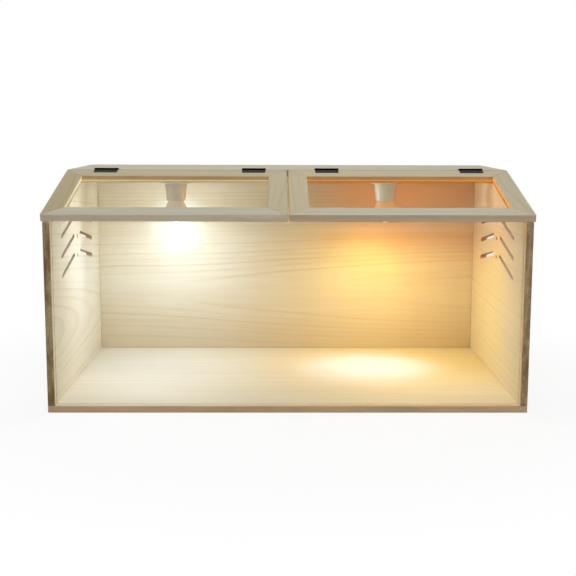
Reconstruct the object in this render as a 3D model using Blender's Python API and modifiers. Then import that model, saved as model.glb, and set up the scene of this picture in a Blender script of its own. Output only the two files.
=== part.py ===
"""Slant-topped wooden brooder box with two hinged glazed lids, a clear front and two hanging lamps.

Metres, +Z up, the clear front towards -Y. The origin is on the ground under the middle of the box.
"""

import math

import bmesh
import bpy
from mathutils import Matrix, Vector

# The wooden box. Depths are measured back from the front edges and heights up from the ground.
BOX_WIDTH = 1.000
BOX_DEPTH = 0.600
FRONT_HEIGHT = 0.3975
BACK_HEIGHT = 0.4765
SLOPE_DEPTH = 0.300
SIDE_BOARD = 0.015
FLOOR_BOARD = 0.014
BACK_BOARD = 0.012
TOP_BOARD = 0.015
SIDE_OVERHANG = 0.004
BACK_OVERHANG = 0.015
BOARD_ROUND = 0.0008

# The clear sheets and the grooves that hold them
FRONT_PANE = 0.003
FRONT_PANE_SETBACK = 0.016
FRONT_PANE_TOP_GAP = 0.0012
LID_PANE = 0.003
LID_PANE_DROP = 0.0094
GROOVE_DEPTH = 0.005
PANE_EDGE_GAP = 0.0006

# The two lid frames
LID_BOARD = 0.015
LID_RAIL = 0.046
LID_STILE = 0.041
LID_GAP = 0.004
LID_ROUND = 0.0005

# The butt hinges: their axis stands this far above the boards and at least this far from each
# board's edge, and the lid's lower back edge keeps its own gap to the top board. The two lids'
# hinges aren't set quite alike
HINGE_RISE = 0.0017
HINGE_EDGE_GAP = 0.0025
LID_BACK_GAP = 0.0007
HINGE_FROM_SIDE = {"left": 0.0893, "right": 0.0837}
HINGE_FROM_MIDDLE = {"left": 0.0754, "right": 0.0875}
HINGE_LENGTH = 0.053
LEAF_REACH = 0.022
LEAF = 0.001
LEAF_CORNER = 0.002
KNUCKLES = 5
KNUCKLE_RADIUS = 0.0022
TAB_SINK = 0.0001
PIN_RADIUS = 0.0011
PIN_HEAD_RADIUS = 0.0019
PIN_HEAD = 0.0009
PIN_FIT = 0.00015

# The hinge screws and the screws that hold the side panels down on the floor board
HINGE_SCREW_SPREAD = 0.032
HINGE_SCREW_LENGTH = 0.011
HINGE_SCREW_HEAD = 0.0027
HINGE_SCREW_SHANK = 0.0012
HINGE_SCREW_SINK = 0.0013
FLOOR_SCREW_LENGTH = 0.045
FLOOR_SCREW_HEAD = 0.0042
FLOOR_SCREW_SHANK = 0.002
FLOOR_SCREW_SINK = 0.0026
FLOOR_SCREW_FROM_END = 0.080
SCREW_POINT_SHARE = 0.2
RECESS_ARM_SHARE = 0.6
RECESS_SLOT_SHARE = 0.14
RECESS_TURN = math.radians(9)

# The vents: rows of two slanted slots with a round hole between them, in each side panel, the
# right panel's a little lower
VENT_ROWS = 3
VENT_WIDTH = 0.010
VENT_LOWEST_SHARE = 0.680
VENT_PITCH_SHARE = 0.108
VENT_FRONT_DEPTH_SHARES = (0.195, 0.423)
VENT_FRONT_RISE_SHARES = (0.0, 0.077)
VENT_BACK_DEPTH_SHARES = (0.550, 0.797)
VENT_BACK_RISE_SHARES = (0.0755, 0.0075)
VENT_HOLE_DEPTH_SHARE = 0.490
VENT_HOLE_RISE_SHARE = 0.065
VENT_DROP = {"left": 0, "right": 0.0034}

# The lamp holders under the top board
LAMP_SPACING = 0.500
LAMP_SHIFT = -0.0155
LAMP_BEHIND_SLOPE = 0.090
BASE_RADIUS = 0.0378
BASE_HEIGHT = 0.0198
BASE_WALL = 0.004
BASE_ROUND = 0.003
WIRE_HOLE = 0.006
CUP_RADIUS = 0.0262
CUP_MOUTH_RADIUS = 0.0222
CUP_BORE_RADIUS = 0.0192
CUP_HEIGHT = 0.0415
CUP_CEILING = 0.005
SHELL_LENGTH = 0.021
SHELL_WALL = 0.0004
CONTACT_RADIUS = 0.005
CONTACT = 0.0015

# The reflector bulbs
CAP_RADIUS = 0.0131
CAP_LENGTH = 0.024
CAP_TIP_RADIUS = 0.0045
CAP_TIP = 0.0012
CAP_INSULATOR = 0.0045
THREAD_PITCH = 0.0036
THREAD_DEPTH = 0.0008
THREAD_TURNS = 4
SOCKET_FIT = 0.0003
BULB_RADIUS = 0.030
BULB_NECK_RADIUS = 0.0172
BULB_LENGTH = 0.051
BULB_BULGE = 0.014
BULB_DOME = 0.006
GLASS_WALL = 0.0012

# Fits and mesh settings
FIT = 0.0003
OVERRUN = 0.002
MERGE = 0.00001
ROUND_STEPS = 28
THREAD_STEPS = 20
FLARE_STEPS = 6
DOME_STEPS = 3
SMALL_STEPS = 12
SLOT_STEPS = 6
CORNER_STEPS = 4
SHOULDER_STEPS = 2
SHOULDER_TURN = 60
BEVEL_STEPS = 2
BEVEL_ANGLE = math.radians(30)
SMOOTH_ANGLE = math.radians(35)

# Worked out from the sizes above
FRONT = -(BOX_DEPTH + BACK_OVERHANG) / 2
HALF_WIDTH = BOX_WIDTH / 2
HALF_INSIDE = HALF_WIDTH - SIDE_BOARD
SLOPE = math.atan2(BACK_HEIGHT - FRONT_HEIGHT, SLOPE_DEPTH)
BOARD_BOTTOM = BACK_HEIGHT + FIT
BOARD_TOP = BOARD_BOTTOM + TOP_BOARD
FLOOR_SEAT = FLOOR_BOARD + FIT
SIDES = {"left": -1, "right": 1}


def lid_top_at(depth):
    """Height of the lids' upper plane at a depth behind the front edges."""
    return FRONT_HEIGHT + depth * math.tan(SLOPE) + (FIT + LID_BOARD) / math.cos(SLOPE)


SEAM_DEPTH = (BOARD_TOP - lid_top_at(0)) / math.tan(SLOPE)
AXIS_Y = FRONT + SEAM_DEPTH - HINGE_RISE * math.tan(SLOPE / 2)
AXIS_Z = BOARD_TOP + HINGE_RISE
LID_WIDTH = HALF_WIDTH + SIDE_OVERHANG - LID_GAP / 2
LID_MIDDLE = (HALF_WIDTH + SIDE_OVERHANG + LID_GAP / 2) / 2
LID_CORNER_SWING = (HINGE_RISE + LID_BOARD) * math.sin(SLOPE)
LID_BACK_EDGE = min(
    -HINGE_EDGE_GAP, (HINGE_EDGE_GAP - LID_BACK_GAP - LID_CORNER_SWING) / math.cos(SLOPE)
)
LID_FRONT_EDGE = -HINGE_RISE * math.tan(SLOPE / 2) - SEAM_DEPTH / math.cos(SLOPE)
LID_TOP = -HINGE_RISE
LEAF_BOTTOM = -HINGE_RISE + FIT
LEAF_TOP = LEAF_BOTTOM + LEAF
LEAF_START = KNUCKLE_RADIUS + FIT
HINGE_SCREW_Y = (LEAF_START + LEAF_REACH) / 2
LAMP_Y = FRONT + SLOPE_DEPTH + LAMP_BEHIND_SLOPE
BASE_BOTTOM = BACK_HEIGHT - BASE_HEIGHT
CUP_TOP = BASE_BOTTOM - FIT
CUP_MOUTH = CUP_TOP - CUP_HEIGHT
CEILING = CUP_TOP - CUP_CEILING
CONTACT_TOP = CEILING - FIT
CONTACT_BOTTOM = CONTACT_TOP - CONTACT
CAP_TOP = CONTACT_BOTTOM - FIT
CAP_BOTTOM = CAP_TOP - CAP_LENGTH
GLASS_TOP = CAP_BOTTOM - FIT
BULB_BOTTOM = CUP_MOUTH - BULB_LENGTH


# Helpers


def clear_scene():
    for obj in list(bpy.data.objects):
        bpy.data.objects.remove(obj)


def new_collection(name):
    collection = bpy.data.collections.new(name)
    bpy.context.scene.collection.children.link(collection)
    return collection


clear_scene()
PARTS = new_collection("brooder_box")
CUTTERS = new_collection("cutters")
CUTTERS.hide_render = True


def principled(name, colour, roughness, metallic=0.0, transmission=0.0):
    made = bpy.data.materials.new(name)
    made.use_nodes = True
    shader = made.node_tree.nodes["Principled BSDF"]
    shader.inputs["Base Color"].default_value = (*colour, 1.0)
    shader.inputs["Roughness"].default_value = roughness
    shader.inputs["Metallic"].default_value = metallic
    shader.inputs["Transmission Weight"].default_value = transmission
    return made


def add_object(name, data, material=None, parent=None):
    """A part when it has a material, and otherwise a cutter, which is left out of renders."""
    obj = bpy.data.objects.new(name, data)
    if material:
        PARTS.objects.link(obj)
        data.materials.clear()
        data.materials.append(material)
    else:
        CUTTERS.objects.link(obj)
        obj.hide_render = True
        obj.display_type = "WIRE"
    obj.parent = parent
    return obj


def add_empty(name, location, tilt=0.0):
    empty = bpy.data.objects.new(name, None)
    PARTS.objects.link(empty)
    empty.location = location
    empty.rotation_euler.x = tilt
    return empty


def mesh_of(name, bm):
    bmesh.ops.recalc_face_normals(bm, faces=bm.faces)
    mesh = bpy.data.meshes.new(name)
    bm.to_mesh(mesh)
    bm.free()
    return mesh


def add_box(name, low, high, material=None, parent=None):
    low, high = Vector(low), Vector(high)
    bm = bmesh.new()
    bmesh.ops.create_cube(bm, size=1)
    bmesh.ops.scale(bm, vec=high - low, verts=bm.verts)
    box = add_object(name, mesh_of(name, bm), material, parent)
    box.location = (low + high) / 2
    return box


def add_cones(name, places, top_radius, bottom_radius, top, bottom, parent=None):
    """A cutter of upright cones or cylinders, one at each (x, y) place."""
    bm = bmesh.new()
    for x, y in places:
        bmesh.ops.create_cone(
            bm,
            cap_ends=True,
            segments=SMALL_STEPS,
            radius1=bottom_radius,
            radius2=top_radius,
            depth=top - bottom,
            matrix=Matrix.Translation((x, y, (top + bottom) / 2)),
        )
    return add_object(name, mesh_of(name, bm), None, parent)


def settled(obj):
    """The mesh that the object's modifiers leave. The object itself is removed."""
    bpy.context.view_layer.update()
    evaluated = obj.evaluated_get(bpy.context.evaluated_depsgraph_get())
    mesh = bpy.data.meshes.new_from_object(evaluated)
    mesh.name = obj.name
    bpy.data.objects.remove(obj)
    return mesh


def shade_round(mesh):
    mesh.shade_smooth()
    mesh.set_sharp_from_angle(angle=SMOOTH_ANGLE)
    return mesh


def flat_mesh(name, outlines, thickness):
    """Flat closed outlines of (x, y) points filled and made this thick. An inner one leaves a hole."""
    curve = bpy.data.curves.new(name, "CURVE")
    curve.dimensions = "2D"
    curve.fill_mode = "BOTH"
    curve.extrude = thickness / 2
    for outline in outlines:
        spline = curve.splines.new("POLY")
        spline.points.add(len(outline) - 1)
        for point, (x, y) in zip(spline.points, outline):
            point.co = (x, y, 0, 1)
        spline.use_cyclic_u = True
    drawn = bpy.data.objects.new(name + "_outline", curve)
    bpy.context.scene.collection.objects.link(drawn)
    mesh = settled(drawn)
    bm = bmesh.new()
    bm.from_mesh(mesh)
    bmesh.ops.remove_doubles(bm, verts=bm.verts, dist=MERGE)
    bpy.data.meshes.remove(mesh)
    return mesh_of(name, bm)


def turned_mesh(name, profile, steps=ROUND_STEPS, ring=False, wall=0.0):
    """A turned shape from (radius, height) points that run down its outer side."""
    mesh = bpy.data.meshes.new(name)
    edges = [(i, i + 1) for i in range(len(profile) - 1)]
    if ring:
        edges.append((len(profile) - 1, 0))
    mesh.from_pydata([(radius, 0, height) for radius, height in profile], edges, [])
    drawn = bpy.data.objects.new(name + "_profile", mesh)
    bpy.context.scene.collection.objects.link(drawn)
    screw = drawn.modifiers.new("Turn", "SCREW")
    screw.steps = steps
    screw.render_steps = steps
    screw.use_merge_vertices = True
    screw.merge_threshold = MERGE
    if wall:
        shell = drawn.modifiers.new("Wall", "SOLIDIFY")
        shell.thickness = wall
        shell.offset = -1
    return shade_round(settled(drawn))


def arc(centre, radius, start, end, steps=CORNER_STEPS):
    """Points from one angle to another, in degrees, with both ends."""
    angles = [math.radians(start + (end - start) * i / steps) for i in range(steps + 1)]
    return [(centre[0] + radius * math.cos(a), centre[1] + radius * math.sin(a)) for a in angles]


def circle(centre, radius):
    """The points of a whole circle, without its first point again."""
    return arc(centre, radius, 0, 360, steps=SMALL_STEPS)[:-1]


def soften(obj, width):
    bevel = obj.modifiers.new("Soft edges", "BEVEL")
    bevel.width = width
    bevel.segments = BEVEL_STEPS
    bevel.limit_method = "ANGLE"
    bevel.angle_limit = BEVEL_ANGLE
    return obj


def combine(obj, other, operation="DIFFERENCE"):
    boolean = obj.modifiers.new(other.name, "BOOLEAN")
    boolean.object = other
    boolean.operation = operation
    return obj


# Materials


def pale_wood():
    return principled("pale_wood", (0.62, 0.50, 0.33), 0.6)


def lid_wood():
    return principled("lid_wood", (0.55, 0.47, 0.33), 0.6)


def clear_acrylic():
    return principled("clear_acrylic", (0.97, 0.98, 0.97), 0.05, transmission=1.0)


def black_steel():
    return principled("black_steel", (0.02, 0.02, 0.022), 0.4, metallic=1.0)


def zinc_steel():
    return principled("zinc_steel", (0.62, 0.61, 0.58), 0.35, metallic=1.0)


def white_porcelain():
    return principled("white_porcelain", (0.80, 0.78, 0.72), 0.2)


def brass():
    return principled("brass", (0.72, 0.52, 0.22), 0.3, metallic=1.0)


def nickel_cap():
    return principled("nickel_cap", (0.66, 0.64, 0.60), 0.3, metallic=1.0)


def frosted_glass():
    return principled("frosted_glass", (0.90, 0.88, 0.82), 0.35)


# Wooden box


def floor_board(wood):
    floor = add_box(
        "floor_board",
        (-HALF_WIDTH, FRONT, 0),
        (HALF_WIDTH, FRONT + BOX_DEPTH, FLOOR_BOARD),
        wood,
    )
    return soften(floor, BOARD_ROUND)


def side_panel(side, wood):
    """A five-sided board: upright at the front, sloping under the lid, then level."""
    outline = [
        (FRONT, FLOOR_SEAT),
        (FRONT + BOX_DEPTH, FLOOR_SEAT),
        (FRONT + BOX_DEPTH, BACK_HEIGHT),
        (FRONT + SLOPE_DEPTH, BACK_HEIGHT),
        (FRONT, FRONT_HEIGHT),
    ]
    mesh = flat_mesh("side_panel_" + side, [outline], SIDE_BOARD)
    panel = add_object("side_panel_" + side, mesh, wood)
    stand_upright(panel, SIDES[side] * (HALF_WIDTH - SIDE_BOARD / 2))
    return soften(panel, BOARD_ROUND)


def stand_upright(obj, x):
    """Turns an outline drawn in (depth, height) to face along X."""
    obj.matrix_world = Matrix.Translation((x, 0, 0)) @ Matrix(
        ((0, 0, 1, 0), (1, 0, 0, 0), (0, 1, 0, 0), (0, 0, 0, 1))
    )


def slot_outline(start, end, width):
    """A slot with round ends, from one end's centre to the other's."""
    turn = math.degrees(math.atan2(end[1] - start[1], end[0] - start[0]))
    far_end = arc(end, width / 2, turn - 90, turn + 90, SLOT_STEPS)
    return far_end + arc(start, width / 2, turn + 90, turn + 270, SLOT_STEPS)


def vent_place(depth_share, lowest, rise_share):
    return FRONT + BOX_DEPTH * depth_share, lowest + FRONT_HEIGHT * rise_share


def vent_cutter(side):
    """Cuts each row of the vents: a slot rising to the back, a round hole and a slot falling."""
    outlines = []
    for row in range(VENT_ROWS):
        height_share = VENT_LOWEST_SHARE + row * VENT_PITCH_SHARE
        lowest = FRONT_HEIGHT * height_share - VENT_DROP[side]
        for depths, rises in (
            (VENT_FRONT_DEPTH_SHARES, VENT_FRONT_RISE_SHARES),
            (VENT_BACK_DEPTH_SHARES, VENT_BACK_RISE_SHARES),
        ):
            ends = [vent_place(depth, lowest, rise) for depth, rise in zip(depths, rises)]
            outlines.append(slot_outline(*ends, VENT_WIDTH))
        hole = vent_place(VENT_HOLE_DEPTH_SHARE, lowest, VENT_HOLE_RISE_SHARE)
        outlines.append(circle(hole, VENT_WIDTH / 2))
    mesh = flat_mesh("vent_cutter_" + side, outlines, SIDE_BOARD + 2 * OVERRUN)
    cutter = add_object("vent_cutter_" + side, mesh)
    stand_upright(cutter, SIDES[side] * (HALF_WIDTH - SIDE_BOARD / 2))
    return cutter


def back_panel(wood):
    panel = add_box(
        "back_panel",
        (-HALF_INSIDE + FIT, FRONT + BOX_DEPTH - BACK_BOARD, FLOOR_SEAT),
        (HALF_INSIDE - FIT, FRONT + BOX_DEPTH, BACK_HEIGHT),
        wood,
    )
    return soften(panel, BOARD_ROUND)


def top_board(wood):
    board = add_box(
        "top_board",
        (-HALF_WIDTH - SIDE_OVERHANG, AXIS_Y + HINGE_EDGE_GAP, BOARD_BOTTOM),
        (HALF_WIDTH + SIDE_OVERHANG, FRONT + BOX_DEPTH + BACK_OVERHANG, BOARD_TOP),
        wood,
    )
    return soften(board, BOARD_ROUND)


def front_pane(acrylic):
    """The clear sheet in the grooves of the floor and the side panels, just below the lids."""
    front = FRONT + FRONT_PANE_SETBACK
    reach = HALF_INSIDE + GROOVE_DEPTH - PANE_EDGE_GAP
    bottom = FLOOR_BOARD - GROOVE_DEPTH + FIT
    top = FRONT_HEIGHT + FRONT_PANE_SETBACK * math.tan(SLOPE) - FRONT_PANE_TOP_GAP
    return add_box("front_pane", (-reach, front, bottom), (reach, front + FRONT_PANE, top), acrylic)


def front_groove_cutter():
    front = FRONT + FRONT_PANE_SETBACK
    reach = HALF_INSIDE + GROOVE_DEPTH
    return add_box(
        "front_groove_cutter",
        (-reach, front - FIT, FLOOR_BOARD - GROOVE_DEPTH),
        (reach, front + FRONT_PANE + FIT, BACK_HEIGHT),
    )


# Screws


def screw_mesh(name, head, shank, sink, length):
    """A countersunk screw with a cross recess, its head's flat top at zero."""
    point = length * SCREW_POINT_SHARE
    profile = [(0, 0), (head, 0), (shank, -sink), (shank, point - length), (0, -length)]
    body = add_object(name, turned_mesh(name, profile, SMALL_STEPS))
    arm = head * RECESS_ARM_SHARE
    half = head * RECESS_SLOT_SHARE
    outline = [(arm, -half), (arm, half), (half, half), (half, arm), (-half, arm), (-half, half)]
    outline += [(-x, -y) for x, y in outline]
    recess = add_object(name + "_recess", flat_mesh(name + "_recess", [outline], sink))
    recess.rotation_euler.z = RECESS_TURN
    combine(body, recess)
    mesh = settled(body)
    bpy.data.objects.remove(recess)
    return shade_round(mesh)


def place_screw(name, mesh, steel, place, parent=None, upwards=False):
    screw = add_object(name, mesh, steel, parent)
    screw.location = place
    if upwards:
        screw.rotation_euler.x = math.pi
    return screw


def floor_screw_places(side):
    x = SIDES[side] * (HALF_WIDTH - SIDE_BOARD / 2)
    return [
        (x, FRONT + FLOOR_SCREW_FROM_END),
        (x, FRONT + BOX_DEPTH - FLOOR_SCREW_FROM_END),
    ]


def drill_for_floor_screws(floor, panels):
    """Countersinks and holes up through the floor board and into the side panels."""
    for side, panel in panels.items():
        places = floor_screw_places(side)
        slant = (FLOOR_SCREW_HEAD - FLOOR_SCREW_SHANK) / FLOOR_SCREW_SINK
        seat = add_cones(
            "floor_countersink_cutter_" + side,
            places,
            FLOOR_SCREW_SHANK + FIT,
            FLOOR_SCREW_HEAD + FIT + OVERRUN * slant,
            FLOOR_SCREW_SINK + FIT,
            -OVERRUN,
        )
        hole = add_cones(
            "floor_hole_cutter_" + side,
            places,
            FLOOR_SCREW_SHANK + FIT,
            FLOOR_SCREW_SHANK + FIT,
            FLOOR_SCREW_LENGTH + FIT,
            -OVERRUN,
        )
        combine(floor, seat)
        combine(floor, hole)
        combine(panel, hole)


def floor_screws(steel):
    mesh = screw_mesh(
        "floor_screw", FLOOR_SCREW_HEAD, FLOOR_SCREW_SHANK, FLOOR_SCREW_SINK, FLOOR_SCREW_LENGTH
    )
    for side in SIDES:
        for end, (x, y) in zip(("front", "back"), floor_screw_places(side)):
            place = (x, y, FIT)
            place_screw(f"floor_screw_{side}_{end}", mesh, steel, place, upwards=True)


# Lids


def lid_corners():
    """The lid frame's outer edges and its window's edges, in the lid's own plane."""
    outer = (-LID_WIDTH / 2, LID_WIDTH / 2, LID_FRONT_EDGE, LID_BACK_EDGE)
    inner = (outer[0] + LID_STILE, outer[1] - LID_STILE, outer[2] + LID_RAIL, outer[3] - LID_RAIL)
    return outer, inner


def lid_rail_outlines():
    """The front and back rails, mitred at both ends."""
    (x0, x1, y0, y1), (u0, u1, v0, v1) = lid_corners()
    front = [(x0, y0), (x1, y0), (u1, v0), (u0, v0)]
    back = [(x0, y1), (u0, v1), (u1, v1), (x1, y1)]
    return front, back


def lid_stile_outlines():
    """The stiles at low and at high x, with a fine joint line left at each mitre."""
    (x0, x1, y0, y1), (u0, u1, v0, v1) = lid_corners()
    line = FIT * math.hypot(LID_STILE, LID_RAIL) / LID_STILE
    low = [(x0, y0 + line), (u0, v0 + line), (u0, v1 - line), (x0, y1 - line)]
    high = [(x1, y0 + line), (x1, y1 - line), (u1, v1 - line), (u1, v0 + line)]
    return low, high


def lid_member(name, outline, wood, parent, groove):
    member = add_object(name, flat_mesh(name, [outline], LID_BOARD), wood, parent)
    member.location.z = LID_TOP - LID_BOARD / 2
    return combine(soften(member, LID_ROUND), groove)


def lid_pane_box(name, edge_gap, face_gap, material, parent):
    """The lid's clear sheet, or with no gap at its edges the grooves that take it."""
    _, (u0, u1, v0, v1) = lid_corners()
    reach = GROOVE_DEPTH - edge_gap
    top = LID_TOP - LID_PANE_DROP
    return add_box(
        name,
        (u0 - reach, v0 - reach, top - LID_PANE - face_gap),
        (u1 + reach, v1 + reach, top + face_gap),
        material,
        parent,
    )


def lid(side, wood, acrylic):
    """One mitred frame round its clear sheet, hung from an empty on the hinge axis."""
    hung = add_empty(side + "_lid_axis", (SIDES[side] * LID_MIDDLE, AXIS_Y, AXIS_Z), SLOPE)
    groove = lid_pane_box(side + "_lid_groove_cutter", 0, FIT, None, hung)
    front, back = lid_rail_outlines()
    low, high = lid_stile_outlines()
    outer, inner = (low, high) if side == "left" else (high, low)
    lid_member(side + "_lid_front_rail", front, wood, hung, groove)
    back_rail = lid_member(side + "_lid_back_rail", back, wood, hung, groove)
    lid_member(side + "_lid_outer_stile", outer, wood, hung, groove)
    lid_member(side + "_lid_inner_stile", inner, wood, hung, groove)
    lid_pane_box(side + "_lid_pane", PANE_EDGE_GAP, 0, acrylic, hung)
    return hung, back_rail


# Hinges


def hinge_middles(side):
    """Where the lid's two hinges stand along X, the one near the box's side first."""
    outer = HALF_WIDTH + SIDE_OVERHANG - HINGE_FROM_SIDE[side]
    inner = LID_GAP / 2 + HINGE_FROM_MIDDLE[side]
    return {"outer": SIDES[side] * outer, "inner": SIDES[side] * inner}


def knuckle_outline():
    """A rolled eye with a tab that runs into its leaf, drawn in (reach, height)."""
    low, high = LEAF_BOTTOM + TAB_SINK, LEAF_TOP - TAB_SINK
    start = math.degrees(math.asin(high / KNUCKLE_RADIUS))
    end = 360 + math.degrees(math.asin(low / KNUCKLE_RADIUS))
    tab_end = LEAF_START + KNUCKLE_RADIUS
    eye = arc((0, 0), KNUCKLE_RADIUS, start, end, steps=SMALL_STEPS)
    bore = circle((0, 0), PIN_RADIUS + PIN_FIT)
    return [eye + [(tab_end, low), (tab_end, high)], bore]


def leaf_mesh(name, first_knuckle):
    """A leaf that reaches along +Y from the axis, with every second knuckle from this one."""
    half = HINGE_LENGTH / 2
    turn = LEAF_CORNER
    outline = [(-half, LEAF_START), (half, LEAF_START)]
    outline += arc((half - turn, LEAF_REACH - turn), turn, 0, 90)
    outline += arc((turn - half, LEAF_REACH - turn), turn, 90, 180)
    leaf = add_object(name, flat_mesh(name, [outline], LEAF))
    leaf.location.z = (LEAF_BOTTOM + LEAF_TOP) / 2
    pitch = HINGE_LENGTH / KNUCKLES
    eyes = []
    for index in range(first_knuckle, KNUCKLES, 2):
        eye = add_object("eye", flat_mesh("eye", knuckle_outline(), pitch - FIT))
        stand_upright(eye, (index + 0.5) * pitch - half)
        combine(leaf, eye, "UNION")
        eyes.append(eye)
    slant = (HINGE_SCREW_HEAD - HINGE_SCREW_SHANK) / HINGE_SCREW_SINK
    overrun = LEAF
    sinks = add_cones(
        "leaf_countersinks",
        hinge_screw_places(),
        HINGE_SCREW_HEAD + FIT + overrun * slant,
        HINGE_SCREW_HEAD + FIT - 2 * overrun * slant,
        LEAF_TOP + overrun,
        LEAF_BOTTOM - overrun,
    )
    combine(leaf, sinks)
    mesh = settled(leaf)
    mesh.transform(Matrix.Translation((0, 0, (LEAF_BOTTOM + LEAF_TOP) / 2)))
    for helper in [*eyes, sinks]:
        bpy.data.objects.remove(helper)
    return shade_round(mesh)


def hinge_screw_places():
    return [(-HINGE_SCREW_SPREAD / 2, HINGE_SCREW_Y), (HINGE_SCREW_SPREAD / 2, HINGE_SCREW_Y)]


def pin_mesh():
    """The hinge pin, upright, with a low round head at each end."""
    half = HINGE_LENGTH / 2
    dome = arc((0, half + FIT), PIN_HEAD_RADIUS, 90, 0)
    top = [(x, half + FIT + (z - half - FIT) * PIN_HEAD / PIN_HEAD_RADIUS) for x, z in dome]
    top[0] = (0, top[0][1])
    top.append((PIN_RADIUS, half + FIT))
    bottom = [(x, -z) for x, z in reversed(top)]
    return turned_mesh("hinge_pin", top + bottom, SMALL_STEPS)


def drill_for_hinge_screws(name, board, places, top, parent=None):
    cutter = add_cones(
        name,
        places,
        HINGE_SCREW_SHANK + FIT,
        HINGE_SCREW_SHANK + FIT,
        top + OVERRUN,
        top - HINGE_SCREW_LENGTH,
        parent,
    )
    combine(board, cutter)


def hinges(side, hung, back_rail, board, steel):
    """The lid's two hinges: a leaf on the top board, a leaf on the lid, a pin and four screws."""
    fixed_mesh = leaf_mesh("fixed_leaf", 0)
    moving_mesh = leaf_mesh("lid_leaf", 1)
    pin = pin_mesh()
    screw = screw_mesh(
        "hinge_screw", HINGE_SCREW_HEAD, HINGE_SCREW_SHANK, HINGE_SCREW_SINK, HINGE_SCREW_LENGTH
    )
    for place, x in hinge_middles(side).items():
        name = f"{side}_lid_{place}_hinge"
        local_x = x - hung.location.x
        fixed = add_object(name + "_fixed_leaf", fixed_mesh, steel)
        fixed.location = (x, AXIS_Y, AXIS_Z)
        moving = add_object(name + "_lid_leaf", moving_mesh, steel, hung)
        moving.location.x = local_x
        moving.rotation_euler.z = math.pi
        rod = add_object(name + "_pin", pin, steel)
        rod.location = (x, AXIS_Y, AXIS_Z)
        rod.rotation_euler.y = math.pi / 2
        on_board = [(x + dx, AXIS_Y + dy) for dx, dy in hinge_screw_places()]
        on_lid = [(local_x + dx, -dy) for dx, dy in hinge_screw_places()]
        drill_for_hinge_screws(name + "_board_holes", board, on_board, BOARD_TOP)
        drill_for_hinge_screws(name + "_lid_holes", back_rail, on_lid, LID_TOP, hung)
        for number, (sx, sy) in enumerate(on_board, start=1):
            spot = (sx, sy, AXIS_Z + LEAF_TOP)
            place_screw(f"{name}_board_screw_{number}", screw, steel, spot)
        for number, (sx, sy) in enumerate(on_lid, start=1):
            spot = (sx, sy, LEAF_TOP)
            place_screw(f"{name}_lid_screw_{number}", screw, steel, spot, hung)


# Lamps


def lamp_base(name, porcelain, at):
    """A shallow round box, open at the top against the board, with a hole for its wires."""
    inside = BASE_RADIUS - BASE_WALL
    top = BASE_HEIGHT
    corner = arc((BASE_RADIUS - BASE_ROUND, BASE_ROUND), BASE_ROUND, 0, -90)
    profile = [(BASE_RADIUS, top), *corner, (WIRE_HOLE, 0), (WIRE_HOLE, BASE_WALL)]
    profile += [(inside, BASE_WALL), (inside, top)]
    base = add_object(name, turned_mesh(name, profile, ring=True), porcelain)
    base.location = (at.x, at.y, BASE_BOTTOM)


def socket_cup(name, porcelain, at):
    """The tapered skirt round the bulb's cap, with a closed top and a rounded lip as wide as its wall."""
    lip = CUP_MOUTH_RADIUS - CUP_BORE_RADIUS
    profile = [(0, CUP_TOP), (CUP_RADIUS, CUP_TOP)]
    profile += arc((CUP_BORE_RADIUS, CUP_MOUTH + lip), lip, 0, -90)
    profile += [(CUP_BORE_RADIUS, CEILING), (0, CEILING)]
    cup = add_object(name, turned_mesh(name, profile), porcelain)
    cup.location = (at.x, at.y, 0)


def thread(radius, top, turns):
    """A rolled thread drawn as rings: a crest and a root for each turn, downwards."""
    points = []
    for turn in range(turns):
        points.append((radius - THREAD_DEPTH, top - turn * THREAD_PITCH))
        points.append((radius, top - (turn + 0.5) * THREAD_PITCH))
    return points


def thread_top():
    return CAP_TOP - CAP_TIP - CAP_INSULATOR


def screw_shell(name, metal, at):
    """The holder's thin threaded sleeve, which follows the thread of the bulb's cap."""
    outer = CAP_RADIUS + SOCKET_FIT + SHELL_WALL
    top = CONTACT_TOP
    bottom = top - SHELL_LENGTH
    rings = thread(outer, thread_top(), THREAD_TURNS)
    outside = [(outer, top), *rings, (outer, bottom)]
    inside = [(radius - SHELL_WALL, height) for radius, height in reversed(outside)]
    shell = add_object(name, turned_mesh(name, outside + inside, THREAD_STEPS, ring=True), metal)
    shell.location = (at.x, at.y, 0)


def centre_contact(name, metal, at):
    profile = [(0, CONTACT_TOP), (CONTACT_RADIUS, CONTACT_TOP)]
    profile += [(CONTACT_RADIUS, CONTACT_BOTTOM), (0, CONTACT_BOTTOM)]
    contact = add_object(name, turned_mesh(name, profile, SMALL_STEPS), metal)
    contact.location = (at.x, at.y, 0)


def bulb_cap(name, metal, at):
    """The bulb's threaded cap with its insulated tip, centred on the turning axis."""
    neck = CAP_RADIUS - THREAD_DEPTH
    profile = [(0, CAP_TOP), (CAP_TIP_RADIUS, CAP_TOP), (CAP_TIP_RADIUS, CAP_TOP - CAP_TIP)]
    profile += thread(CAP_RADIUS, thread_top(), THREAD_TURNS)
    profile += [(neck, CAP_BOTTOM + THREAD_PITCH / 2), (neck, CAP_BOTTOM), (0, CAP_BOTTOM)]
    cap = add_object(name, turned_mesh(name, profile, THREAD_STEPS), metal)
    cap.location = (at.x, at.y, 0)


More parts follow.
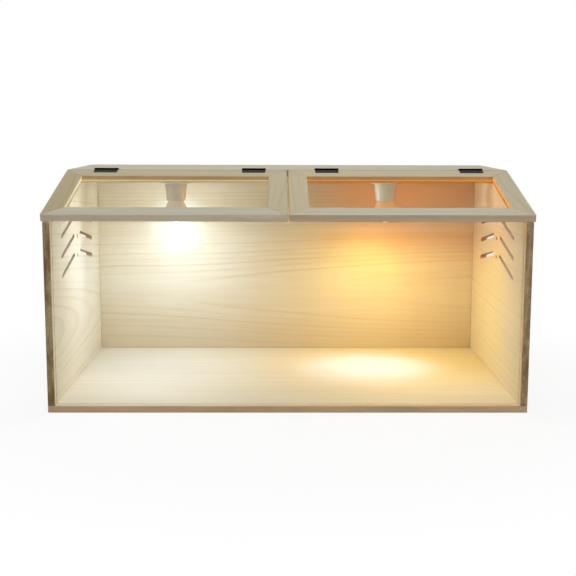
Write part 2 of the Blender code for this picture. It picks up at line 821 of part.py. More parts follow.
def bulb_glass(name, glass, at):
    """The reflector bulb's thin envelope: a neck, a flared side and a gently domed face."""
    widest = BULB_BOTTOM + BULB_BULGE
    rim = BULB_BOTTOM + BULB_DOME
    flare = BULB_RADIUS - BULB_NECK_RADIUS
    profile = [(CAP_RADIUS - THREAD_DEPTH, GLASS_TOP)]
    for step in range(FLARE_STEPS + 1):
        share = step / FLARE_STEPS
        radius = BULB_NECK_RADIUS + flare * math.sin(share * math.pi / 2)
        profile.append((radius, CUP_MOUTH + (widest - CUP_MOUTH) * share))
    shoulder = widest - rim
    profile += arc((BULB_RADIUS - shoulder, widest), shoulder, SHOULDER_TURN - 90, -90, SHOULDER_STEPS)
    face = BULB_RADIUS - shoulder
    for step in range(1, DOME_STEPS + 1):
        share = 1 - step / DOME_STEPS
        profile.append((face * share, BULB_BOTTOM + BULB_DOME * share**2))
    envelope = add_object(name, turned_mesh(name, profile, wall=GLASS_WALL), glass)
    envelope.location = (at.x, at.y, 0)


def lamp(side, porcelain, metal, cap_metal, glass):
    at = Vector((LAMP_SHIFT + SIDES[side] * LAMP_SPACING / 2, LAMP_Y, 0))
    lamp_base(side + "_lamp_base", porcelain, at)
    socket_cup(side + "_lamp_socket_cup", porcelain, at)
    screw_shell(side + "_lamp_screw_shell", metal, at)
    centre_contact(side + "_lamp_centre_contact", metal, at)
    bulb_cap(side + "_bulb_cap", cap_metal, at)
    bulb_glass(side + "_bulb_glass", glass, at)


# Assembly


def build():
    wood = pale_wood()
    lid_boards = lid_wood()
    acrylic = clear_acrylic()
    hinge_steel = black_steel()
    floor = floor_board(wood)
    panels = {side: side_panel(side, wood) for side in SIDES}
    groove = front_groove_cutter()
    combine(floor, groove)
    for side, panel in panels.items():
        combine(panel, groove)
        combine(panel, vent_cutter(side))
    drill_for_floor_screws(floor, panels)
    back_panel(wood)
    board = top_board(lid_boards)
    front_pane(acrylic)
    floor_screws(zinc_steel())
    for side in SIDES:
        hung, back_rail = lid(side, lid_boards, acrylic)
        hinges(side, hung, back_rail, board, hinge_steel)
        lamp(side, white_porcelain(), brass(), nickel_cap(), frosted_glass())


build()
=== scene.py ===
"""Looks for the brooder box: the camera, a plain studio, two lit lamps and a material for every piece.

Metres, +Z up, the clear front towards -Y. Sizes and places come from the frame, or are named here.
"""

import math

import bpy
from mathutils import Matrix, Vector

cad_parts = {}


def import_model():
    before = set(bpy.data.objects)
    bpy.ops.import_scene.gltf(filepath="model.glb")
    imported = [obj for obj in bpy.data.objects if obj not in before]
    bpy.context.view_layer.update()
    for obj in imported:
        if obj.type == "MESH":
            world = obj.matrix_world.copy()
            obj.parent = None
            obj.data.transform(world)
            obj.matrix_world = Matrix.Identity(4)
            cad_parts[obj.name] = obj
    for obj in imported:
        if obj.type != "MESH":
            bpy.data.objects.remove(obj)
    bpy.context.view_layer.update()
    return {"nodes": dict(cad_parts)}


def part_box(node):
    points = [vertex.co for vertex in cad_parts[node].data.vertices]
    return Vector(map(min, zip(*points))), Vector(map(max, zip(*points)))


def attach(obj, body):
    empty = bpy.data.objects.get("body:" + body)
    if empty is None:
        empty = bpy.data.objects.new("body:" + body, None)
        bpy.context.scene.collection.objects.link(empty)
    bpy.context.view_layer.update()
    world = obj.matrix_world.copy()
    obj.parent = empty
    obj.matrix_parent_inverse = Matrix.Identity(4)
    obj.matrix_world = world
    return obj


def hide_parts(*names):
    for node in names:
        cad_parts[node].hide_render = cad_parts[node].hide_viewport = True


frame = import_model()

# The camera, as fitted to the photograph's edges
LENS = 66.29
SENSOR = 36.0
CAMERA_PLACE = Vector((-0.0200, -2.4563, 0.5921))
CAMERA_DOWN = math.radians(8.698)
CAMERA_TO_RIGHT = math.radians(0.510)
CAMERA_ROLL = math.radians(0.149)

# The studio: plain soft light, and a background that is white to the eye
AMBIENT = 0.29
SKY = 0.78
HORIZON = 0.26
STAGE_RADIUS = 6.0
STAGE_STEPS = 96
STAGE_GAP = 0.0006
STAGE_PALE = 0.90
STAGE_BOUNCE = 0.55
SHADOW_SHARE = 0.12
SHADOW_NEAR = 0.60
SHADOW_FAR = 1.1
KEY_POWER = 37.0
KEY_SIZE = 1.8
KEY_PLACE = Vector((-0.2, 0.15, 2.8))
FILL_POWER = 17.0
FILL_SIZE = 2.4
FILL_PLACE = Vector((0.3, -2.6, 1.5))
SIDE_POWER = 22.0
SIDE_SIZE = 1.6
SIDE_PLACES = {
    "side_left": Vector((-2.7, 0.1, 0.50)),
    "side_right": Vector((2.7, 0.1, 0.50)),
    "side_back": Vector((0.0, 2.7, 0.50)),
}
AIM = Vector((0.0, 0.0, 0.25))

# The light of the two lamps, from just below each bulb's face. A beam is a lit disk that faces down,
# with its aim, power and colour
LENS_CLEARANCE = 0.003
LENS_SHARE = 0.80
BEAMS = {
    "left_beam": (Vector((-0.2655, 0.0825, 0.0)), 0.90, (0.55, 0.72, 1.0)),
    "right_beam": (Vector((0.200, 0.055, 0.0)), 1.02, (1.0, 0.69, 0.12)),
}

# The rest are cones, with their aim, spread in degrees, blend, power and colour. The wash and the flare
# light the back panel, the side and the leak the side panel, and the core the floor. A glint is aimed
# at the other bulb
CONE_RADIUS = 0.020
CONE_DROP = 0.024
CONES = {
    "left_wash": (Vector((-0.300, 0.2805, 0.370)), 170, 1.0, 1.02, (0.84, 0.91, 1.0)),
    "left_flare": (Vector((-0.281, 0.2805, 0.340)), 52, 1.0, 1.35, (0.40, 0.72, 1.0)),
    "left_side": (Vector((-0.485, -0.36, 0.18)), 130, 1.0, 1.9, (0.80, 0.84, 1.0)),
    "left_leak": (Vector((-0.470, -0.15, 0.47)), 110, 1.0, 1.35, (0.82, 0.95, 1.0)),
    "left_glint": (Vector((0.2345, 0.0825, 0.41)), 26, 1.0, 4.0, (1.0, 0.97, 0.90)),
    "right_wash": (Vector((0.340, 0.2805, 0.370)), 170, 1.0, 0.52, (1.0, 0.22, 0.05)),
    "right_flare": (Vector((0.199, 0.2805, 0.195)), 62, 0.7, 0.35, (1.0, 0.9, 0.2)),
    "right_side": (Vector((0.485, -0.36, 0.18)), 130, 1.0, 1.0, (1.0, 0.62, 0.20)),
    "right_leak": (Vector((0.470, -0.15, 0.47)), 110, 1.0, 0.95, (1.0, 0.30, 0.0)),
    "right_glint": (Vector((-0.2655, 0.0825, 0.41)), 26, 1.0, 1.2, (1.0, 0.55, 0.20)),
    "right_core": (Vector((0.202, 0.055, 0.014)), 68, 1.0, 4.2, (0.38, 0.50, 1.0)),
}

# The lids fall by this much over this depth
LID_FALL = 0.079
LID_DEPTH = 0.300
LID_SLOPE = math.atan2(LID_FALL, LID_DEPTH)


# Helpers


def srgb(*levels):
    """A linear colour from levels of 0 to 255 as they show on a screen."""
    shares = [level / 255 for level in levels]
    linear = [s / 12.92 if s <= 0.04045 else ((s + 0.055) / 1.055) ** 2.4 for s in shares]
    return (*linear, 1.0)


def scaled(colour, share):
    return (*(channel * share for channel in colour[:3]), 1.0)


class Nodes:
    """Builds one material's node tree. An input is a value or another node's output."""

    def __init__(self, name):
        self.material = bpy.data.materials.new(name)
        self.material.use_nodes = True
        self.tree = self.material.node_tree
        self.tree.nodes.clear()

    def add(self, kind, inputs=(), **settings):
        node = self.tree.nodes.new("ShaderNode" + kind)
        for key, value in settings.items():
            setattr(node, key, value)
        for key, value in dict(inputs).items():
            if isinstance(value, bpy.types.NodeSocket):
                self.tree.links.new(value, node.inputs[key])
            else:
                node.inputs[key].default_value = value
        return node

    def math(self, operation, first, second=0.0):
        return self.add("Math", {0: first, 1: second}, operation=operation).outputs[0]

    def times(self, first, second):
        return self.math("MULTIPLY", first, second)

    def parts(self, vector):
        return tuple(self.add("SeparateXYZ", {0: vector}).outputs)

    def spread(self, value, low, high, to_low=0.0, to_high=1.0, smooth=False):
        """Maps low and high to two new values, and holds them beyond."""
        kind = "SMOOTHSTEP" if smooth else "LINEAR"
        inputs = {0: value, 1: low, 2: high, 3: to_low, 4: to_high}
        return self.add("MapRange", inputs, interpolation_type=kind).outputs[0]

    def noise(self, vector, scale, detail, roughness=0.5):
        inputs = {"Vector": vector, "Scale": scale, "Detail": detail, "Roughness": roughness}
        return self.add("TexNoise", inputs).outputs["Fac"]

    def stretch(self, vector, scale, place):
        return self.add("Mapping", {"Vector": vector, "Location": place, "Scale": scale}).outputs[0]

    def texture(self, place, kind, offset=(0.0, 0.0, 0.0)):
        """Noise of one kind: how its place is stretched, its detail and its roughness."""
        scale, detail, roughness = kind
        return self.noise(self.stretch(place, scale, offset), 1.0, detail, roughness)

    def mix(self, factor, first, second):
        """Mixes two colours, which this node takes as its inputs 6 and 7."""
        inputs = {0: factor, 6: first, 7: second}
        return self.add("Mix", inputs, data_type="RGBA").outputs[2]

    def mix_shaders(self, factor, first, second):
        return self.add("MixShader", {0: factor, 1: first, 2: second}).outputs[0]

    def bump(self, height, strength, distance):
        inputs = {"Height": height, "Strength": strength, "Distance": distance}
        return self.add("Bump", inputs).outputs["Normal"]

    def principled(self, colour, roughness, **more):
        inputs = {"Base Color": colour, "Roughness": roughness}
        inputs.update({key.replace("_", " "): value for key, value in more.items()})
        return self.add("BsdfPrincipled", inputs).outputs["BSDF"]

    def shown_to_the_eye(self):
        """1 for rays from the camera and for what metal and glass show, and 0 for light."""
        path = self.add("LightPath")
        glass = self.math("MAXIMUM", path.outputs["Is Glossy Ray"], path.outputs["Is Transmission Ray"])
        return self.math("MAXIMUM", path.outputs["Is Camera Ray"], glass)

    def finish(self, surface):
        self.add("OutputMaterial", {"Surface": surface})
        return self.material


def dress(material, *names):
    for name in names:
        for slot in frame["nodes"][name].material_slots:
            slot.material = material


def middle(name):
    low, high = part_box(name)
    return (low + high) / 2


# Camera and studio


def camera():
    data = bpy.data.cameras.new("camera")
    data.sensor_width = SENSOR
    data.lens = LENS
    seen_from = bpy.data.objects.new("camera", data)
    bpy.context.scene.collection.objects.link(seen_from)
    seen_from.matrix_world = (
        Matrix.Translation(CAMERA_PLACE)
        @ Matrix.Rotation(-CAMERA_TO_RIGHT, 4, "Z")
        @ Matrix.Rotation(math.pi / 2 - CAMERA_DOWN, 4, "X")
        @ Matrix.Rotation(CAMERA_ROLL, 4, "Z")
    )
    bpy.context.scene.camera = seen_from


def world():
    """Soft light from all round, and plain white where the camera, metal or glass sees it."""
    made = bpy.data.worlds.new("studio")
    made.use_nodes = True
    tree = made.node_tree
    tree.nodes.clear()
    path = tree.nodes.new("ShaderNodeLightPath")
    seen = path.outputs["Is Camera Ray"]
    for name in ("Is Glossy Ray", "Is Transmission Ray"):
        more = tree.nodes.new("ShaderNodeMath")
        more.operation = "MAXIMUM"
        tree.links.new(seen, more.inputs[0])
        tree.links.new(path.outputs[name], more.inputs[1])
        seen = more.outputs[0]
    direction = tree.nodes.new("ShaderNodeTexCoord").outputs["Generated"]
    split = tree.nodes.new("ShaderNodeSeparateXYZ")
    tree.links.new(direction, split.inputs[0])
    level = tree.nodes.new("ShaderNodeMapRange")
    tree.links.new(split.outputs[2], level.inputs[0])
    for socket, value in zip(level.inputs[1:5], (0.0, 1.0, HORIZON, SKY)):
        socket.default_value = value
    light = tree.nodes.new("ShaderNodeBackground")
    light.inputs["Strength"].default_value = AMBIENT
    tree.links.new(level.outputs[0], light.inputs["Color"])
    white = tree.nodes.new("ShaderNodeBackground")
    white.inputs["Strength"].default_value = 1.0
    white.inputs["Color"].default_value = (1.0, 1.0, 1.0, 1.0)
    mixed = tree.nodes.new("ShaderNodeMixShader")
    output = tree.nodes.new("ShaderNodeOutputWorld")
    tree.links.new(seen, mixed.inputs[0])
    tree.links.new(light.outputs[0], mixed.inputs[1])
    tree.links.new(white.outputs[0], mixed.inputs[2])
    tree.links.new(mixed.outputs[0], output.inputs["Surface"])
    bpy.context.scene.world = made


def stage_material():
    """Pale and matt. To the eye it is white, and keeps a share of the object's shadow."""
    t = Nodes("pale_stage")
    where = t.add("TexCoord").outputs["Object"]
    distance = t.add("VectorMath", {0: where}, operation="LENGTH").outputs["Value"]
    share = t.spread(distance, SHADOW_NEAR, SHADOW_FAR, SHADOW_SHARE, 0.0, smooth=True)
    pale = t.add("BsdfDiffuse", {"Color": (STAGE_PALE, STAGE_PALE, STAGE_PALE, 1.0)}).outputs[0]
    bounce = t.add("BsdfDiffuse", {"Color": (STAGE_BOUNCE, STAGE_BOUNCE, STAGE_BOUNCE, 1.0)}).outputs[0]
    white = t.add("Emission", {"Color": (1.0, 1.0, 1.0, 1.0), "Strength": 1.0}).outputs[0]
    seen = t.mix_shaders(share, white, pale)
    return t.finish(t.mix_shaders(t.shown_to_the_eye(), bounce, seen))


def stage():
    rim = [
        (STAGE_RADIUS * math.cos(turn), STAGE_RADIUS * math.sin(turn), -STAGE_GAP)
        for turn in (math.tau * i / STAGE_STEPS for i in range(STAGE_STEPS))
    ]
    mesh = bpy.data.meshes.new("stage_floor")
    mesh.from_pydata(rim, [], [range(STAGE_STEPS)])
    floor = bpy.data.objects.new("stage_floor", mesh)
    bpy.context.scene.collection.objects.link(floor)
    mesh.materials.append(stage_material())


def aimed_light(name, place, aim, power, size, colour=(1.0, 1.0, 1.0), shape="SQUARE"):
    data = bpy.data.lights.new(name, "AREA")
    data.shape = shape
    data.size = size
    data.energy = power
    data.color = colour
    light = bpy.data.objects.new(name, data)
    bpy.context.scene.collection.objects.link(light)
    light.location = place
    light.rotation_euler = (aim - place).to_track_quat("-Z", "Y").to_euler()
    light.visible_camera = False
    return light


def studio_lights():
    lights = [
        aimed_light("key", KEY_PLACE, AIM, KEY_POWER, KEY_SIZE),
        aimed_light("fill", FILL_PLACE, AIM, FILL_POWER, FILL_SIZE),
    ]
    for name, place in SIDE_PLACES.items():
        lights.append(aimed_light(name, place, AIM, SIDE_POWER, SIDE_SIZE))
    for light in lights:
        light.visible_glossy = False


def below_bulb(name, gap):
    """The point below the bulb whose side starts the light's name, and the bulb's width."""
    low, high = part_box(name.split("_")[0] + "_bulb_glass")
    return Vector(((low.x + high.x) / 2, (low.y + high.y) / 2, low.z - gap)), high.x - low.x


def lamp_lights():
    """Beams and cones below the bulbs. The camera sees none, and gloss only the beams and glints."""
    for name, (aim, power, colour) in BEAMS.items():
        place, width = below_bulb(name, LENS_CLEARANCE)
        aimed_light(name, place, aim, power, width * LENS_SHARE, colour, "DISK")
    for name, (aim, spread, blend, power, colour) in CONES.items():
        place, _ = below_bulb(name, CONE_DROP)
        data = bpy.data.lights.new(name, "SPOT")
        data.energy = power
        data.color = colour
        data.spot_size = math.radians(spread)
        data.spot_blend = blend
        data.shadow_soft_size = CONE_RADIUS
        cone = bpy.data.objects.new(name, data)
        bpy.context.scene.collection.objects.link(cone)
        cone.location = place
        cone.rotation_euler = (aim - place).to_track_quat("-Z", "Y").to_euler()
        cone.visible_camera = False
        cone.visible_glossy = name.endswith("glint")


# Wood

EARLY_WOOD = srgb(240, 234, 215)
LATE_WOOD = srgb(219, 203, 174)
END_GRAIN = srgb(206, 181, 141)
SMOKED_GRAIN = srgb(140, 110, 72)
# The vent walls: cut grain with painted lamplight, the right one warmer from the orange lamp
CUT_GRAINS_AND_LAMPLIGHT = {"left": srgb(226, 200, 158), "right": srgb(240, 188, 142)}
BACK_EARLY_WOOD = srgb(240, 231, 207)
BACK_LATE_WOOD = srgb(219, 197, 160)
# Painted warm light of the orange lamp, laid on the back panel's corner and on the foremost strip
PAINTED_WARM_LAMPLIGHT = srgb(224, 182, 128)
LID_EARLY_WOOD = srgb(203, 197, 176)
LID_LATE_WOOD = srgb(182, 171, 145)
LID_END_GRAIN = srgb(186, 170, 140)
FLOOR_EDGE = srgb(250, 216, 172)
LID_EDGES = {"left": srgb(248, 232, 203), "right": srgb(238, 214, 180)}
# The back rails' front faces: painted warm lamplight from inside the box
PAINTED_LAMPLIGHT_BACK_RAILS = {"left": srgb(238, 200, 150), "right": srgb(248, 194, 128)}
# The ledges and lips under the lids' sheets: painted lamplight, yellow on the left and orange on the
# right
PAINTED_LAMPLIGHT_LEDGES = {"left": srgb(255, 240, 196), "right": srgb(255, 180, 66)}
# The outer stiles' inner sides: painted lamplight that comes up through the sheets
PAINTED_LAMPLIGHT_STILE_SIDES = {
    "left_lid_outer_stile": (1.0, srgb(246, 232, 196)),
    "right_lid_outer_stile": (-1.0, srgb(252, 202, 140)),
}

# The top board's tone, and the lids' boards: where their heart lines lie, their seeds and their tones
TOP_TONE = (0.89, 0.885, 0.88)
LID_HEART_OFFSET = 0.03
LID_SEED = 11.0
LID_SEED_STEP = 3.7
LID_TONES = {
    "left_lid_front_rail": (0.94, 0.96, 0.98),
    "left_lid_back_rail": (0.91, 0.86, 0.77),
    "left_lid_outer_stile": (0.81, 0.74, 0.60),
    "left_lid_inner_stile": (0.93, 0.88, 0.77),
    "right_lid_front_rail": (1.0, 1.0, 1.0),
    "right_lid_back_rail": (0.99, 0.93, 0.83),
    "right_lid_outer_stile": (0.97, 0.93, 0.85),
    "right_lid_inner_stile": (0.97, 0.91, 0.80),
}

# Each axis's place in a point. A board's axes name those that run along, across and through it
AXES = {"X": 0, "Y": 1, "Z": 2}

# Noise that gives a board its texture: its stretch along, across and through the board, its detail and
# its roughness
STREAK_DETAIL = 3.0
STREAK_ROUGHNESS = 0.6
FIBRES = ((22.0, 900.0, 900.0), 2.0, 0.6)
BLOTCHES = ((2.2, 7.0, 7.0), 3.0, 0.55)
PORES = ((40.0, 420.0, 420.0), 2.0, 0.7)
SMOKE = ((9.0, 14.0, 60.0), 4.0, 0.6)
LAYERS = ((30.0, 30.0, 420.0), 3.0, 0.6)

# The span of a texture's values over which it comes in, and, where given, the shares at both its ends
STREAK_RANGE = (0.30, 0.72)
FIBRE_RANGE = (0.35, 0.75, 0.0, 0.18)
BLOTCH_RANGE = (0.35, 0.70, 0.0, 0.25)
PORE_RANGE = (0.40, 0.65)
LAYER_RANGE = (0.42, 0.62, 0.0, 0.60)
SMOKE_RANGE = (0.42, 0.62, 0.0, 0.85)
FRONT_FIBRE_RANGE = (0.40, 0.70, 0.0, 0.35)
FRONT_SMOKE_RANGE = (0.48, 0.66, 0.0, 0.50)
ROUGHNESS_RANGE = (0.2, 0.8, 0.60, 0.76)

# Shares of a colour that give its lighter and darker shades
RING_SHADE = 0.92
FIBRE_SHADE = 0.90
BLOTCH_SHADE = 1.04
FOOT_SHADE = 0.97
SAWN_SHADE = 1.18
PORE_SHADE = 0.74
LAYER_SHADE = 0.62
CUT_PORE_SHADE = 0.85
FRONT_STREAK_SHADE = 0.80
FRONT_FIBRE_SHADE = 0.70
FRONT_SMOKE_SHADE = 0.66

# How squarely a face looks one way, from where a tone starts to where it is full, or the other way
# round where the last two numbers say so
TO_THE_END = (0.55, 0.75)
TO_THE_SIDE = (0.75, 0.85)
TO_THE_FRONT = (-0.75, -0.85)
TO_THE_TOP = (0.90, 0.95)
TO_THE_INSIDE = (-0.5, 0.0, 1.0, 0.0)
NOT_THE_BOARD_FACE = (0.5, 0.7, 1.0, 0.0)
NOT_THE_SLOPED_TOP = (0.95, 0.96, 1.0, 0.0)

# Growth rings: the waves that bend them, how soft arches are, the part of a year in which late wood
# comes and goes, the quiet band, and how much years differ
WAVE_STRETCH = (1.0, 2.4, 2.4)
WAVE_SCALE = 1.6
WAVE_DETAIL = 1.0
WAVE_OFFSET = 0.7
ARCH_SOFTNESS = 0.02
LATE_STARTS = (0.50, 0.92)
LATE_STOPS = (0.94, 1.0, 1.0, 0.0)
QUIET_REACH = (0.5, 1.4)
QUIET_SHARE = 0.15
YEAR_RANGE = (0.1, 0.9)
FAINT_YEAR = 0.08

# Relief and gloss of the wood's surface
RELIEF = 0.22
RELIEF_DEPTH = 0.0006
FIBRE_RELIEF = 0.5
RING_RELIEF = -0.5
SHEEN = 0.12

# How deep the ledge and the lip lie below a lid's top face, how deep the foremost strip is, and the
# widths over which tones change
LEDGE_DEPTH = 0.004
LEDGE_FADE = 0.001
LIP_DEPTH = 0.0115
LIP_FADE = 0.0005
END_MARGIN = 0.001
FRONT_STRIP = 0.007
FRONT_FADE = 0.003
SIDEWAYS_FADE = (-0.2, 0.2)


def board_frame(t, vector, axes, turn):
    """Turns object coordinates to a board's own: along its grain, across it, and through it."""
    turned = t.add("Mapping", {"Vector": vector, "Rotation": (turn, 0.0, 0.0)}).outputs[0]
    parts = t.parts(turned)
    inputs = {place: parts[AXES[axis]] for place, axis in enumerate(axes)}
    return t.add("CombineXYZ", inputs).outputs[0]


class Board:
    """A wood material in the making: the board's own axes, its faces, its colours and its textures."""

    def __init__(self, name, colours, axes, turn, tone, streak, seed):
        self.t = t = Nodes(name)
        self.early, self.late, self.end = (
            (*(channel * share for channel, share in zip(colour, tone)), 1.0) for colour in colours
        )
        coords = t.add("TexCoord").outputs
        self.object_place = t.parts(coords["Object"])
        self.object_facing = t.parts(coords["Normal"])
        self.place = board_frame(t, coords["Object"], axes, turn)
        self.along, self.across, self.through = t.parts(self.place)
        self.facing = t.parts(board_frame(t, coords["Normal"], axes, turn))
        along_grain, across_grain = streak
        streaks = ((along_grain, across_grain, across_grain), STREAK_DETAIL, STREAK_ROUGHNESS)
        self.streaks = t.texture(self.place, streaks, (0.0, seed, 0.0))
        self.fibres = t.texture(self.place, FIBRES, (seed, 0.0, 0.0))
        self.blotches = t.texture(self.place, BLOTCHES, (seed, seed, 0.0))
        self.pores = t.texture(self.place, PORES)
        self.smoke = t.texture(self.place, SMOKE, (0.0, 0.0, seed))
        self.layers = t.texture(self.place, LAYERS, (seed, 0.0, 0.0))

    def inner_face(self):
        """1 on the back panel's face that looks to the front, into the box."""
        return self.t.spread(self.object_facing[1], *TO_THE_INSIDE)


def growth_rings(
    board,
    seed,
    heart,
    depth,
    tilt=0.0,
    opening=0.0,
    start=0.0,
    ring=0.012,
    sway=0.03,
    quiet=0.0,
    figure=0.35,
):
    """How much late wood shows: rings round a pith that lies under the heart line.

    The pith draws near the face beyond the start, so that the lines open into arches there, and the
    opening's sign says which way. The band beside the heart line can be quiet.
    """
    t = board.t
    waves = t.stretch(board.place, WAVE_STRETCH, (seed, seed * WAVE_OFFSET, 0.0))
    drift = t.add("TexNoise", {"Vector": waves, "Scale": WAVE_SCALE, "Detail": WAVE_DETAIL})
    drift = drift.outputs["Color"]
    drift = [t.times(t.math("SUBTRACT", part, 0.5), sway) for part in t.parts(drift)[:2]]
    side = t.math("SUBTRACT", t.math("SUBTRACT", board.across, heart), t.times(board.along, tilt))
    side = t.math("ADD", side, drift[0])
    reach = t.times(t.math("SUBTRACT", board.along, start), math.copysign(1.0, opening))
    softened = t.math("SQRT", t.math("ADD", t.times(reach, reach), ARCH_SOFTNESS))
    opened = t.times(t.math("ADD", reach, softened), abs(opening) / 2)
    under = t.math("ADD", t.math("SUBTRACT", depth, opened), drift[1])
    square = t.math("ADD", t.times(side, side), t.times(under, under))
    count = t.math("DIVIDE", t.math("SQRT", square), ring)
    growth = t.math("FRACT", count)
    late = t.times(t.spread(growth, *LATE_STARTS, smooth=True), t.spread(growth, *LATE_STOPS))
    if quiet:
        near, far = (quiet * share for share in QUIET_REACH)
        aside = t.math("ABSOLUTE", side)
        late = t.times(late, t.spread(aside, near, far, QUIET_SHARE, 1.0, smooth=True))
    year = t.add("TexWhiteNoise", {"W": t.math("FLOOR", count)}, noise_dimensions="1D").outputs[0]
    return t.times(late, t.spread(year, *YEAR_RANGE, FAINT_YEAR * figure, figure))


# Tones of a board's parts, some of them painted lamplight. Each function takes the board and its colour
# so far, and gives a new colour


def deep_foot(board, colour, pale_at, deep_at, most):
    """Deeper towards the foot, on the inner face alone."""
    share = board.t.spread(board.across, pale_at, deep_at, 0.0, most, smooth=True)
    foot = scaled(board.late, FOOT_SHADE)
    return board.t.mix(board.t.times(board.inner_face(), share), colour, foot)


def painted_warm_light_corner(board, colour, along, across, most, strip, soft, spared):
    """Painted warm light of the orange lamp: deeper towards a corner of the inner face, and less so in
    a strip along the grain.
    """
    t = board.t
    low, high = strip
    share = t.times(
        t.spread(board.along, *along, 0.0, most, smooth=True),
        t.spread(board.across, *across, smooth=True),
    )
    pale = t.times(
        t.spread(board.across, low - soft, low + soft, 0.0, spared, smooth=True),
        t.spread(board.across, high - soft, high + soft, 1.0, 0.0, smooth=True),
    )
    share = t.times(share, t.math("SUBTRACT", 1.0, pale))
    return t.mix(t.times(board.inner_face(), share), colour, PAINTED_WARM_LAMPLIGHT)


def painted_warm_light_front(board, colour, strip_end, left_share, right_share):
    """Painted warm light from inside the box on the foremost strip, by a share that can change from
    left to right.
    """
    t = board.t
    x, y, _ = board.object_place
    most = t.spread(x, *SIDEWAYS_FADE, left_share, right_share)
    share = t.times(most, t.spread(y, strip_end, strip_end + FRONT_FADE, 1.0, 0.0))
    return t.mix(share, colour, PAINTED_WARM_LAMPLIGHT)


def sawn_ends(board, colour):
    """End grain, with pores, layers and smoky patches."""
    t = board.t
    pale, pore, layer = (scaled(board.end, share) for share in (SAWN_SHADE, PORE_SHADE, LAYER_SHADE))
    sawn = t.mix(t.spread(board.pores, *PORE_RANGE), pale, pore)
    sawn = t.mix(t.spread(board.layers, *LAYER_RANGE), sawn, layer)
    sawn = t.mix(t.spread(board.smoke, *SMOKE_RANGE), sawn, SMOKED_GRAIN)
    facing_end = t.math("ABSOLUTE", board.facing[0])
    return t.mix(t.spread(facing_end, *TO_THE_END), colour, sawn)


def cut_walls(board, colour, low_end, high_end, shade):
    """The walls of vents and grooves, but not the board's faces, its outer ends or its sloped top.
    Their shade is cut grain with painted lamplight.
    """
    t = board.t
    x, y, z = board.object_facing
    risen = t.math("SUBTRACT", t.times(z, math.cos(LID_SLOPE)), t.times(y, math.sin(LID_SLOPE)))
    within = t.spread(board.along, low_end, low_end + END_MARGIN)
    within = t.times(within, t.spread(board.along, high_end - END_MARGIN, high_end, 1.0, 0.0))
    within = t.times(within, t.spread(risen, *NOT_THE_SLOPED_TOP))
    within = t.times(within, t.spread(t.math("ABSOLUTE", x), *NOT_THE_BOARD_FACE))
    cut = t.mix(t.spread(board.pores, *PORE_RANGE), shade, scaled(shade, CUT_PORE_SHADE))
    return t.mix(within, colour, cut)


def planed_front(board, colour, shade, lip=None):
    """The face that looks to the front. The lip under a lid's sheet can take painted lamplight instead.
    """
    t = board.t
    streak, fibre, smoke = (
        scaled(shade, share) for share in (FRONT_STREAK_SHADE, FRONT_FIBRE_SHADE, FRONT_SMOKE_SHADE)
    )
    planed = t.mix(t.spread(board.streaks, *STREAK_RANGE), shade, streak)
    planed = t.mix(t.spread(board.fibres, *FRONT_FIBRE_RANGE), planed, fibre)
    planed = t.mix(t.spread(board.smoke, *FRONT_SMOKE_RANGE), planed, smoke)
    # The lip gets painted lamplight
    if lip:
        lid_top, lip_lamplight = lip
        lip_top = lid_top - LIP_DEPTH
        low = t.spread(board.through, lip_top, lip_top + LIP_FADE, 1.0, 0.0)
        planed = t.mix(low, planed, lip_lamplight)
    return t.mix(t.spread(board.object_facing[1], *TO_THE_FRONT), colour, planed)


def painted_lamplight_side(board, colour, way, shade):
    """The side that looks one way along X, painted with lamplight: 1 for right, -1 for left."""
    facing = board.t.times(board.object_facing[0], way)
    return board.t.mix(board.t.spread(facing, *TO_THE_SIDE), colour, shade)


def painted_lamplight_ledge(board, colour, lid_top, shade):
    """What looks up from below a lid's top face, the ledge that carries its sheet, painted with
    lamplight.
    """
    t = board.t
    ledge_top = lid_top - LEDGE_DEPTH
    sunk = t.spread(board.through, ledge_top, ledge_top + LEDGE_FADE, 1.0, 0.0)
    return t.mix(t.times(sunk, t.spread(board.facing[2], *TO_THE_TOP)), colour, shade)


def wood(
    name,
    colours,
    axes,
    seed,
    turn=0.0,
    tone=(1.0, 1.0, 1.0),
    streaky=0.30,
    streak=(2.0, 95.0),
    under=(),
    over=(),
    **rings,
):
    """Planed wood. Its ends are sawn, and the tones of its parts lie under or over them."""
    board = Board(name, colours, axes, turn, tone, streak, seed)
    t = board.t
    late_wood = growth_rings(board, seed, **rings)
    colour = t.mix(late_wood, board.early, scaled(board.late, RING_SHADE))
    colour = t.mix(t.spread(board.streaks, *STREAK_RANGE, 0.0, streaky), colour, board.late)
    colour = t.mix(t.spread(board.fibres, *FIBRE_RANGE), colour, scaled(board.late, FIBRE_SHADE))
    blotch = scaled(board.early, BLOTCH_SHADE)
    colour = t.mix(t.spread(board.blotches, *BLOTCH_RANGE), colour, blotch)
    for tone_part, settings in (*under, (sawn_ends, {}), *over):
        colour = tone_part(board, colour, **settings)
    height = t.math("ADD", t.times(board.fibres, FIBRE_RELIEF), t.times(late_wood, RING_RELIEF))
    normal = t.bump(height, RELIEF, RELIEF_DEPTH)
    roughness = t.spread(board.streaks, *ROUGHNESS_RANGE)
    return t.finish(t.principled(colour, roughness, Normal=normal, Specular_IOR_Level=SHEEN))


